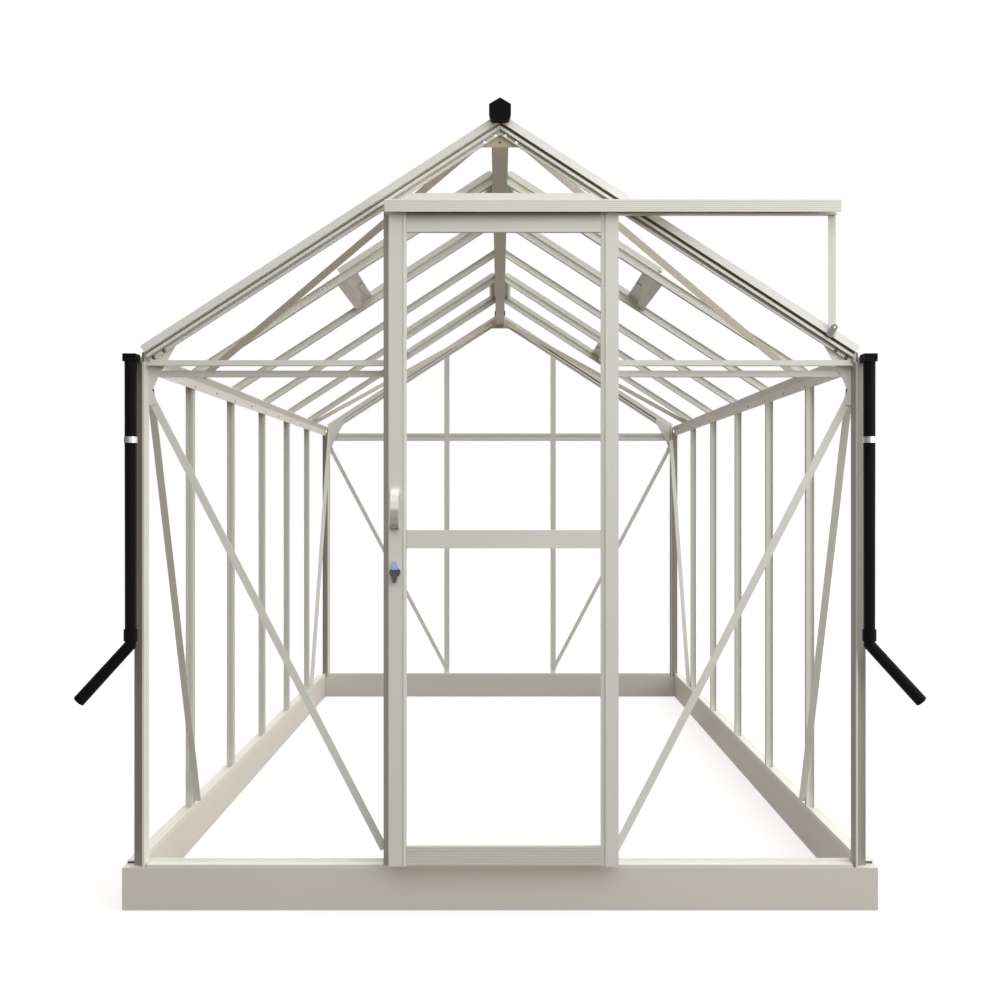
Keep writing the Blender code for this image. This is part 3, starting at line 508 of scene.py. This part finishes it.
# %% [markdown]
# The bars are bolted at the gusset plates. Each fastener is a small domed head: a low cone for
# its rim and a flattened ball for its crown. All the heads of one row share a mesh, because
# they ride on the same body and a single piece is quicker to draw.

# %% Pieces and bolt rows
def piece_from(edit, name, material):
    """Turns a finished bmesh into an object with one material, and frees the bmesh."""
    mesh = bpy.data.meshes.new(name)
    edit.to_mesh(mesh)
    edit.free()
    made = bpy.data.objects.new(name, mesh)
    bpy.context.scene.collection.objects.link(made)
    made.data.materials.append(material)
    return made


def bolt_row(name, places, direction, radius=0.0052, body="house", metal=ZINC):
    """Domed bolt heads at the given places, all facing one way."""
    rim = 0.0016
    edit = bmesh.new()
    turn = Vector(direction).to_track_quat("Z", "Y").to_matrix().to_4x4()
    squeeze = Matrix.Diagonal((1.0, 1.0, 0.55, 1.0))
    for place in places:
        spot = Matrix.Translation(place) @ turn
        bmesh.ops.create_cone(edit, cap_ends=True, segments=16, radius1=radius, radius2=radius * 0.92,
                              depth=rim, matrix=spot @ Matrix.Translation((0, 0, rim / 2)))
        bmesh.ops.create_uvsphere(edit, u_segments=12, v_segments=8, radius=radius * 0.62,
                                  matrix=spot @ Matrix.Translation((0, 0, rim)) @ squeeze)
    made = piece_from(edit, name, metal)
    for face in made.data.polygons:
        face.use_smooth = True
    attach(made, body)
    print(name, len(places))
    return made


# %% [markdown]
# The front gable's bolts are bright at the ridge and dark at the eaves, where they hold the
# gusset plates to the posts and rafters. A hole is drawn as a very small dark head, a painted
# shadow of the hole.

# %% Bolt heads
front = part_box("rafter_front_left")[0].y
bar_line = front + 0.030
rear_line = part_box("rafter_rear_left")[1].y - 0.030
flange = front + 0.0104
ridge_pairs = ((0.0136, 2.033), (0.042, 2.015))
eaves_pairs = ((0.8819, 1.4672), (0.9095, 1.4494))
ridge_bolts = [Vector((s * x, flange, z)) for s in (-1, 1) for x, z in ridge_pairs]
eaves_bolts = [Vector((s * x, flange, z)) for s in (-1, 1) for x, z in eaves_pairs]
bolt_row("ridge_bolts", ridge_bolts, (0, -1, 0), 0.0062, metal=BRIGHT)
bolt_row("eaves_bolts", eaves_bolts, (0, -1, 0), 0.0054, metal=DARK_STEEL)
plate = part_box("ridge_bar")[0].y
HOLE_SIZE = 0.0024
bolt_row("plate_hole", [Vector((0, plate, 2.0165))], (0, -1, 0), HOLE_SIZE, metal=HOLE)
tab_bolts = [Vector((s * 0.9135, front + 0.0223, 1.3647)) for s in (-1, 1)]
bolt_row("tab_bolts", tab_bolts, (0, -1, 0), HOLE_SIZE, metal=HOLE)
rear_flange = rear_line + 0.0304 - 0.0108
rear_pairs = ((0.0136, 2.030), (0.042, 2.012)) + eaves_pairs
rear_bolts = [Vector((s * x, rear_flange, z)) for s in (-1, 1) for x, z in rear_pairs]
bolt_row("rear_bolts", rear_bolts, (0, 1, 0), 0.0048)

# %% [markdown]
# Inside the eaves every glazing bar is held by a nut on the flange, and between the bars the
# flange has small holes for staging. Both repeat with the bays, so a loop places them.

# %% Nuts and holes at the eaves
BAY = 0.62
bar_rows = [bar_line + BAY * number for number in range(1, 6)]
for side, face in ((-1, "left"), (1, "right")):
    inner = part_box("side_bars_" + face)[0 if side > 0 else 1].x
    eave = side * (abs(inner) - 0.0018)
    nuts = [Vector((eave, y, 1.4263)) for y in bar_rows]
    bolt_row("eaves_nuts_" + face, nuts, (-side, 0, 0), 0.0046)
    holes = [Vector((eave, bar_line + BAY * (number + 0.5), 1.4288)) for number in range(6)]
    bolt_row("eaves_holes_" + face, holes, (-side, 0, 0), 0.0028, metal=HOLE)

# %% [markdown]
# Flat parts with a shaped outline are easiest as one face that is drawn out: the outline gives
# the corners, and the extrude operator makes the walls and the far face. The strip that carries
# the track ends in such a part, a plated foot tab with a round end and one bolt. It lies square
# to the roof slope.

# %% The strip's foot tab
def slab(name, outline, y_from, y_to, material, turn=Matrix.Identity(4)):
    """A closed slab: an outline in the XZ plane, drawn out along Y and then turned."""
    edit = bmesh.new()
    near = edit.faces.new([edit.verts.new((x, y_from, z)) for x, z in outline])
    drawn = bmesh.ops.extrude_face_region(edit, geom=[near])["geom"]
    far = [item for item in drawn if isinstance(item, bmesh.types.BMVert)]
    bmesh.ops.translate(edit, verts=far, vec=(0, y_to - y_from, 0))
    bmesh.ops.transform(edit, matrix=turn, verts=edit.verts)
    bmesh.ops.recalc_face_normals(edit, faces=edit.faces)
    made = piece_from(edit, name, material)
    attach(made, "house")
    print(name, len(made.data.polygons))
    return made


TAB_RADIUS = 0.0082
TAB_LENGTH = 0.028
TAB_THICK = 0.0022
TAB_STEPS = 24
strip_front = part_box("track_support")[0].y
half_turn = [math.radians(180 * step / TAB_STEPS) for step in range(TAB_STEPS + 1)]
rim = [(TAB_RADIUS * math.cos(angle), TAB_RADIUS * math.sin(angle)) for angle in half_turn]
rim += [(-TAB_RADIUS, -TAB_LENGTH), (TAB_RADIUS, -TAB_LENGTH)]
tab_turn = Matrix.Translation((0.8740, strip_front - 0.0002, 1.5262)) @ Matrix.Rotation(PITCH, 4, "Y")
slab("strip_tab", rim, -TAB_THICK, 0.0, DARK_STEEL, tab_turn)
bolt_row("strip_bolt", [tab_turn @ Vector((0, -TAB_THICK, 0.0))], (0, -1, 0), 0.0034, metal=BRIGHT)

# %% [markdown]
# Each slope has a small white knob on one of its bars, beside a vent. It has the same domed
# shape as a bolt head, so the same function makes it, in plastic.

# %% Knobs
BAR_FACE = 0.0125
KNOB = moulded("white_knob", linear(236, 234, 226), 0.4, 0.05)
knob_places = [Vector((-0.479, bar_line + 2 * BAY - BAR_FACE, 1.797)),
               Vector((0.4985, bar_line + BAY - BAR_FACE, 1.784))]
bolt_row("vent_knobs", knob_places, (0, -1, 0), 0.0062, metal=KNOB)

# %% [markdown]
# A skirt closes the lower edge of each ridge cap over the wings of the ridge bar. Its outline
# curves in at both ends. A thin lip runs along the top edge of the track, in a whiter cream that
# is a painted highlight on that edge.

# %% Skirts and lip
SKIRT_IN = 0.0096
SKIRT_TOP = 0.024
SKIRT_DROP = 0.0243
SKIRT_PROUD = 0.0001
SKIRT_STEPS = 8
quarter = [math.radians(90 * step / SKIRT_STEPS) for step in range(SKIRT_STEPS + 1)]
for end in ("front", "rear"):
    low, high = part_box("ridge_cap_" + end)
    half = [(high.x + SKIRT_PROUD - SKIRT_IN * (1 - math.cos(angle)),
             low.z + SKIRT_TOP - SKIRT_DROP * math.sin(angle)) for angle in quarter]
    skirt = half + [(-x, z) for x, z in reversed(half)]
    skirt_front = low.y - 0.0004 * (end == "front")
    slab("cap_skirt_" + end, skirt, skirt_front, high.y, BLACK_PLASTIC)

LIP_TALL = 0.0036
LIP_REACH = 0.0005
low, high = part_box("door_track")
lip_low = high.z - LIP_TALL
# The lip's whiter cream is a painted highlight.
LIP_HIGHLIGHT = powder_coat("cream_coat_lip", linear(252, 252, 248), linear(248, 248, 242), 0.35, "x")
slab("track_lip", [(low.x, lip_low), (high.x, lip_low), (high.x, high.z), (low.x, high.z)],
     low.y - LIP_REACH, low.y + LIP_REACH, LIP_HIGHLIGHT)

# %% [markdown]
# Each downpipe is held to its post by a bright spring clip: a band bent round the pipe with a
# short tongue that goes back to the post. The band starts as an open tube, and Solidify gives
# it the thickness of the spring steel.

# %% Pipe clips
CLIP_RADIUS = 0.0167
CLIP_TALL = 0.016
CLIP_THICK = 0.0007
CLIP_LOW = 1.223
PIPE_OUT = 0.959
PIPE_FORWARD = 0.060


def pipe_clip(name, side):
    """The band round one downpipe and its tongue."""
    edit = bmesh.new()
    centre = Vector((side * PIPE_OUT, bar_line - PIPE_FORWARD, CLIP_LOW + CLIP_TALL / 2))
    bmesh.ops.create_cone(edit, cap_ends=False, segments=48, radius1=CLIP_RADIUS, radius2=CLIP_RADIUS,
                          depth=CLIP_TALL, matrix=Matrix.Translation(centre))
    bmesh.ops.solidify(edit, geom=edit.faces[:], thickness=-CLIP_THICK)
    tongue = Matrix.Diagonal((0.004, 0.014, CLIP_TALL * 0.8, 1.0))
    bmesh.ops.create_cube(edit, size=1.0,
                          matrix=Matrix.Translation(centre + Vector((0, 0.0235, 0))) @ tongue)
    bmesh.ops.recalc_face_normals(edit, faces=edit.faces)
    made = piece_from(edit, name, CHROME_BAND)
    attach(made, "house")
    print(name, "faces:", len(made.data.polygons))


CHROME_BAND = plated("bright_clip", linear(222, 224, 228), 0.16)
for side, face in ((-1, "left"), (1, "right")):
    pipe_clip("pipe_clip_" + face, side)

# %% [markdown]
# The camera stands where the photographer stood: level, at about chest height, three and a
# half metres from the front bars, with a lens a little longer than normal.

# %% Camera
view = bpy.data.cameras.new("camera")
view.lens = 47.7
view.sensor_width = 36.0
view.shift_y = -0.002
view.clip_end = 100
eye = bpy.data.objects.new("camera", view)
eye.location = (0.0, bar_line - 3.50, 1.080)
eye.rotation_euler = (math.radians(90), 0, 0)
bpy.context.scene.collection.objects.link(eye)
bpy.context.scene.camera = eye
print("camera at", [round(v, 3) for v in eye.location])

# %% [markdown]
# The ground is white to the camera but darker to the light that bounces, as on a print where
# the backdrop was cleared, so the undersides of the bars stay brown. A Light Path node tells
# the two kinds of ray apart and picks one of two shaders.

# %% Floor
ground = bpy.data.materials.new("white_ground")
ground.use_nodes = True
bench = Bench(ground.node_tree)
ground.node_tree.nodes.remove(ground.node_tree.nodes["Principled BSDF"])
rays = bench.add("ShaderNodeLightPath")
seen = bench.wire(rays.outputs["Is Camera Ray"]).at_least(bench.wire(rays.outputs["Is Glossy Ray"]))
pale = bench.add("ShaderNodeBsdfDiffuse", Color=(0.30, 0.30, 0.30, 1))
glow = bench.add("ShaderNodeEmission", Color=(1, 1, 1, 1), Strength=0.72)
white = bench.add("ShaderNodeAddShader")
bench.feed(white.inputs[0], pale.outputs[0])
bench.feed(white.inputs[1], glow.outputs[0])
dull = bench.add("ShaderNodeBsdfDiffuse", Color=(0.095, 0.070, 0.042, 1))
pick = bench.add("ShaderNodeMixShader")
bench.feed(pick.inputs[0], seen)
bench.feed(pick.inputs[1], dull.outputs[0])
bench.feed(pick.inputs[2], white.outputs[0])
bench.feed(ground.node_tree.nodes["Material Output"].inputs["Surface"], pick.outputs[0])

edit = bmesh.new()
bmesh.ops.create_grid(edit, x_segments=1, y_segments=1, size=60)
floor = piece_from(edit, "floor", ground)
floor.location = (0, 0, -0.0005)
print("floor faces:", len(floor.data.polygons))

# %% [markdown]
# The sky does the lighting. Its strength is one plain sum of the direction: most from above,
# some from the right, so faces to the left fall off softly with no hard shadow. Its colour is
# a little warm, and warmer towards the back, so what it lights from there stays cream. To the
# camera the sky is plain white.

# %% Sky
world = bpy.data.worlds.new("sky")
bpy.context.scene.world = world
world.use_nodes = True
bench = Bench(world.node_tree)
ways = bench.add("ShaderNodeTexCoord").outputs["Generated"]
right, back, up = [along_axis(bench, ways, axis) for axis in "XYZ"]
level = (0.86 + 0.68 * right + 0.50 * up + 0.20 * back).at_least(0.02)
rays = bench.add("ShaderNodeLightPath")
through = bench.wire(rays.outputs["Is Transmission Ray"])
seen = bench.wire(rays.outputs["Is Camera Ray"]).at_least(through)
warm_share = (1.0 - seen) * (0.35 + 0.65 * back).at_least(0.0)
warmth = bench.add("ShaderNodeMix", {"data_type": "RGBA"}, Factor=warm_share)
bench.feed(warmth.inputs[6], (1, 1, 1, 1))
bench.feed(warmth.inputs[7], (1, 0.90, 0.845, 1))
shine = world.node_tree.nodes["Background"]
bench.feed(shine.inputs["Color"], warmth.outputs[2])
bench.feed(shine.inputs["Strength"], level * (1.0 - seen) + seen)
bpy.context.scene.view_settings.view_transform = "Standard"
print("sky:", len(world.node_tree.nodes), "nodes")

# %% [markdown]
# Three large soft lamps stand in front. One is far to the right, so the fronts of the bars get
# lighter towards that side, and a weaker one lifts the upper right corner. The last hangs high,
# so they get lighter towards the ridge.

# %% Soft lamps
def soft_lamp(name, place, target, size, power):
    """A round lamp that stands at a place and shines at a target."""
    lamp = bpy.data.lights.new(name, "AREA")
    lamp.shape = "DISK"
    lamp.size = size
    lamp.energy = power
    stand = bpy.data.objects.new(name, lamp)
    stand.location = place
    stand.rotation_euler = (Vector(target) - Vector(place)).to_track_quat("-Z", "Y").to_euler()
    bpy.context.scene.collection.objects.link(stand)
    print(name, power, "W")


soft_lamp("lamp_right", (2.4, -3.6, 1.40), (0.6, -1.4, 1.3), 1.8, 12)
soft_lamp("lamp_corner", (1.5, -3.0, 2.0), (0.8, -1.8, 1.6), 1.2, 2.5)
soft_lamp("lamp_high", (0.2, -3.3, 2.5), (0.2, -1.8, 1.9), 1.6, 5)
